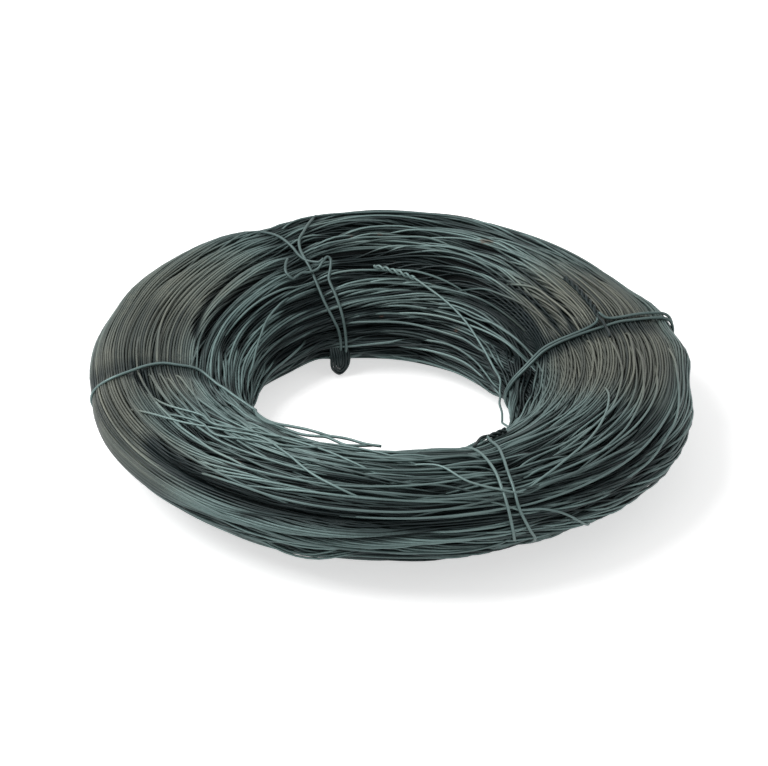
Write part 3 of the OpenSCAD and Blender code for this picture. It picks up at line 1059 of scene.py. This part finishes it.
class WIRECOIL_OT_stage(bpy.types.Operator):
    """Set the camera, the lamps and a plain pale floor"""

    bl_idname = "wirecoil.stage"
    bl_label = "Set the stage"

    def execute(self, context):
        stage = context.scene.wire_stage
        self.add_camera(context, stage)
        self.add_light(context, stage)
        self.add_floor(stage)
        context.scene.view_settings.view_transform = "Standard"
        return {"FINISHED"}

    def add_camera(self, context, stage):
        """Camera over the near side, aimed so that the coil's middle falls on its pixel of the photograph."""
        e = stage.elevation
        right = Vector((1, 0, 0))
        up = Vector((0, np.sin(e), np.cos(e)))
        back = Vector((0, -np.cos(e), np.sin(e)))
        off_right = (PHOTO_WIDTH / 2 - stage.middle_px[0]) / stage.pixels_per_metre
        off_up = (stage.middle_px[1] - PHOTO_HEIGHT / 2) / stage.pixels_per_metre
        aim = Vector((0, 0, coil_high.z / 2)) + off_right * right + off_up * up
        camera = bpy.data.cameras.new("camera")
        camera.sensor_width = 36.0
        camera.lens = camera.sensor_width * stage.distance * stage.pixels_per_metre / PHOTO_WIDTH
        camera.clip_end = 100.0
        holder = bpy.data.objects.new("camera", camera)
        holder.location = aim + stage.distance * back
        holder.rotation_euler = (np.pi / 2 - e, 0, 0)
        context.scene.collection.objects.link(holder)
        context.scene.camera = holder

    def add_light(self, context, stage):
        """Even white light from all round, which looks white, and one large soft lamp at the upper left."""
        nodes = Nodes(bpy.data.worlds.new("even_light"))
        strength = nodes.seen() * (1 - stage.sky) + stage.sky
        sky = nodes.node("ShaderNodeBackground", None, {"Color": (1, 1, 1, 1), "Strength": strength})
        nodes.node("ShaderNodeOutputWorld", None, {"Surface": sky.outputs[0]})
        context.scene.world = nodes.owner
        lamp = bpy.data.lights.new("key", "AREA")
        lamp.shape = "DISK"
        lamp.size = LAMP_SIZE
        lamp.energy = stage.key
        holder = bpy.data.objects.new("key", lamp)
        holder.location = LAMP_AT
        holder.rotation_euler = (-holder.location).to_track_quat("-Z", "Y").to_euler()
        context.scene.collection.objects.link(holder)

    def add_floor(self, stage):
        """Large pale disc, a little under the lowest turns, whose lit parts look white."""
        count, radius, gap = 96, 6.0, 0.3 * MM
        angle = 2 * np.pi * np.arange(count) / count
        rim = np.stack([radius * np.cos(angle), radius * np.sin(angle), 0 * angle - gap], -1)
        face = np.arange(count)[None, :], np.stack([np.cos(angle), np.sin(angle)], -1)[None] / 2 + 0.5
        floor = add_mesh("floor", rim, [face], {})
        nodes = Nodes(bpy.data.materials.new("pale_floor"))
        place = nodes.node("ShaderNodeTexCoord").outputs["Object"]
        mottle = nodes.noise(place, 3.0) * 0.1
        colour = nodes.mixed(mottle, opaque(stage.floor), opaque(stage.floor, 0.97))
        glow = nodes.mixed(nodes.seen(), opaque(stage.glow, 0.0), opaque(stage.glow))
        inputs = {"Base Color": colour, "Roughness": 0.9, "Emission Color": glow, "Emission Strength": 1.0}
        floor.data.materials.append(nodes.surface(inputs))


class WIRECOIL_PT_panel(bpy.types.Panel):
    """Sizes, finishes and steps of the coil"""

    bl_idname = "WIRECOIL_PT_panel"
    bl_label = "Wire Coil"
    bl_space_type = "VIEW_3D"
    bl_region_type = "UI"
    bl_category = "Wire Coil"

    def draw(self, context):
        scene = context.scene
        for settings in (scene.wire_coil, scene.wire_finish, scene.wire_stage):
            box = self.layout.box()
            for key in settings.__annotations__:
                box.prop(settings, key)
        for operator in OPERATORS:
            self.layout.operator(operator.bl_idname)


SETTINGS = {"wire_coil": CoilSettings, "wire_finish": FinishSettings, "wire_stage": StageSettings}
OPERATORS = (WIRECOIL_OT_stage, WIRECOIL_OT_wind, WIRECOIL_OT_strays, WIRECOIL_OT_tie)
CLASSES = (*SETTINGS.values(), *OPERATORS, WIRECOIL_PT_panel)


def register():
    """Adds the classes and the scene's settings."""
    for cls in CLASSES:
        bpy.utils.register_class(cls)
    for key, cls in SETTINGS.items():
        setattr(bpy.types.Scene, key, bpy.props.PointerProperty(type=cls))


def unregister():
    """Takes them away again."""
    for key in SETTINGS:
        delattr(bpy.types.Scene, key)
    for cls in reversed(CLASSES):
        bpy.utils.unregister_class(cls)


def main():
    """Builds the scene."""
    register()
    bpy.ops.wirecoil.stage()
    bpy.ops.wirecoil.wind()
    bpy.ops.wirecoil.strays()
    bpy.ops.wirecoil.tie()


if __name__ == "__main__":
    main()
